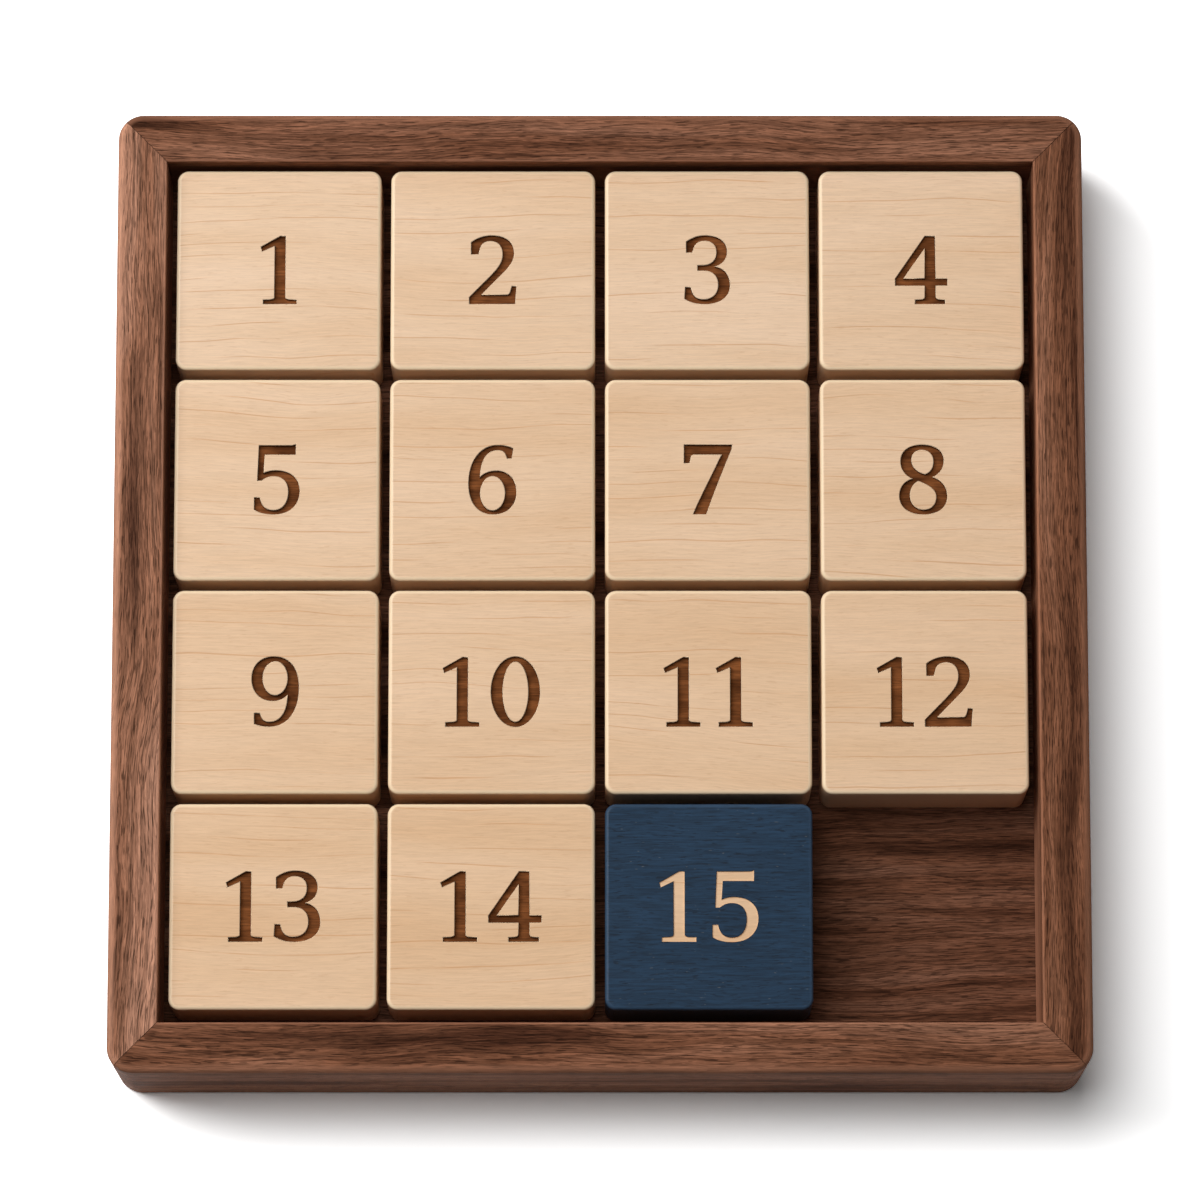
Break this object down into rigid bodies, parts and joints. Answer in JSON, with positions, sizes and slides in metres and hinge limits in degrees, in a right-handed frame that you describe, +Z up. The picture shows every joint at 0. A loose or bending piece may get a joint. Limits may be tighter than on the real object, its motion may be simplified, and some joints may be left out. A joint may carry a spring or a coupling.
{
  "type": "sliding number puzzle",
  "caption": "Square wooden sliding number puzzle: loose engraved maple tiles in a mitred walnut tray, one stained blue, with one cell left empty so that tiles slide past each other.",
  "frame": {"origin": "under the middle of the tray, on the surface that it stands on", "axes": "+Z up, +Y towards the back of the tray (the top of the numerals), +X to the right as the numerals read"},
  "size_m": [0.1486, 0.1486, 0.027],
  "materials": {
    "walnut_rail": "oiled satin",
    "walnut_panel": "oiled satin",
    "maple": "sanded satin, numerals engraved and burnt brown",
    "blue_stained_maple": "blue stain, satin, numerals engraved through to the bare wood"
  },
  "bodies": {
    "tray": {"rail_back": "walnut_rail", "rail_left": "walnut_rail", "rail_front": "walnut_rail", "rail_right": "walnut_rail", "base_panel": "walnut_panel"},
    "tile_01": {"tile_01": "maple"},
    "tile_02": {"tile_02": "maple"},
    "tile_03": {"tile_03": "maple"},
    "tile_04": {"tile_04": "maple"},
    "tile_05": {"tile_05": "maple"},
    "tile_06": {"tile_06": "maple"},
    "tile_07": {"tile_07": "maple"},
    "tile_08": {"tile_08": "maple"},
    "tile_09": {"tile_09": "maple"},
    "tile_10": {"tile_10": "maple"},
    "tile_11": {"tile_11": "maple"},
    "tile_12": {"tile_12": "maple"},
    "tile_13": {"tile_13": "maple"},
    "tile_14": {"tile_14": "maple"},
    "tile_15": {"tile_15": "blue_stained_maple"}
  },
  "joints": [
    {"name": "tile_01_lift", "type": "slide", "parent": "tray", "child": "tile_01", "axis": [0, 0, 1], "range_m": [0, 0.02]},
    {"name": "tile_02_lift", "type": "slide", "parent": "tray", "child": "tile_02", "axis": [0, 0, 1], "range_m": [0, 0.02]},
    {"name": "tile_03_lift", "type": "slide", "parent": "tray", "child": "tile_03", "axis": [0, 0, 1], "range_m": [0, 0.02]},
    {"name": "tile_04_lift", "type": "slide", "parent": "tray", "child": "tile_04", "axis": [0, 0, 1], "range_m": [0, 0.02]},
    {"name": "tile_05_lift", "type": "slide", "parent": "tray", "child": "tile_05", "axis": [0, 0, 1], "range_m": [0, 0.02]},
    {"name": "tile_06_lift", "type": "slide", "parent": "tray", "child": "tile_06", "axis": [0, 0, 1], "range_m": [0, 0.02]},
    {"name": "tile_07_lift", "type": "slide", "parent": "tray", "child": "tile_07", "axis": [0, 0, 1], "range_m": [0, 0.02]},
    {"name": "tile_08_lift", "type": "slide", "parent": "tray", "child": "tile_08", "axis": [0, 0, 1], "range_m": [0, 0.02]},
    {"name": "tile_09_lift", "type": "slide", "parent": "tray", "child": "tile_09", "axis": [0, 0, 1], "range_m": [0, 0.02]},
    {"name": "tile_10_lift", "type": "slide", "parent": "tray", "child": "tile_10", "axis": [0, 0, 1], "range_m": [0, 0.02]},
    {"name": "tile_11_lift", "type": "slide", "parent": "tray", "child": "tile_11", "axis": [0, 0, 1], "range_m": [0, 0.02]},
    {"name": "tile_12_slide", "type": "slide", "parent": "tray", "child": "tile_12", "axis": [0, 1, 0], "range_m": [-0.033, 0]},
    {"name": "tile_13_lift", "type": "slide", "parent": "tray", "child": "tile_13", "axis": [0, 0, 1], "range_m": [0, 0.02]},
    {"name": "tile_14_lift", "type": "slide", "parent": "tray", "child": "tile_14", "axis": [0, 0, 1], "range_m": [0, 0.02]},
    {"name": "tile_15_slide", "type": "slide", "parent": "tray", "child": "tile_15", "axis": [1, 0, 0], "range_m": [0, 0.033]}
  ]
}
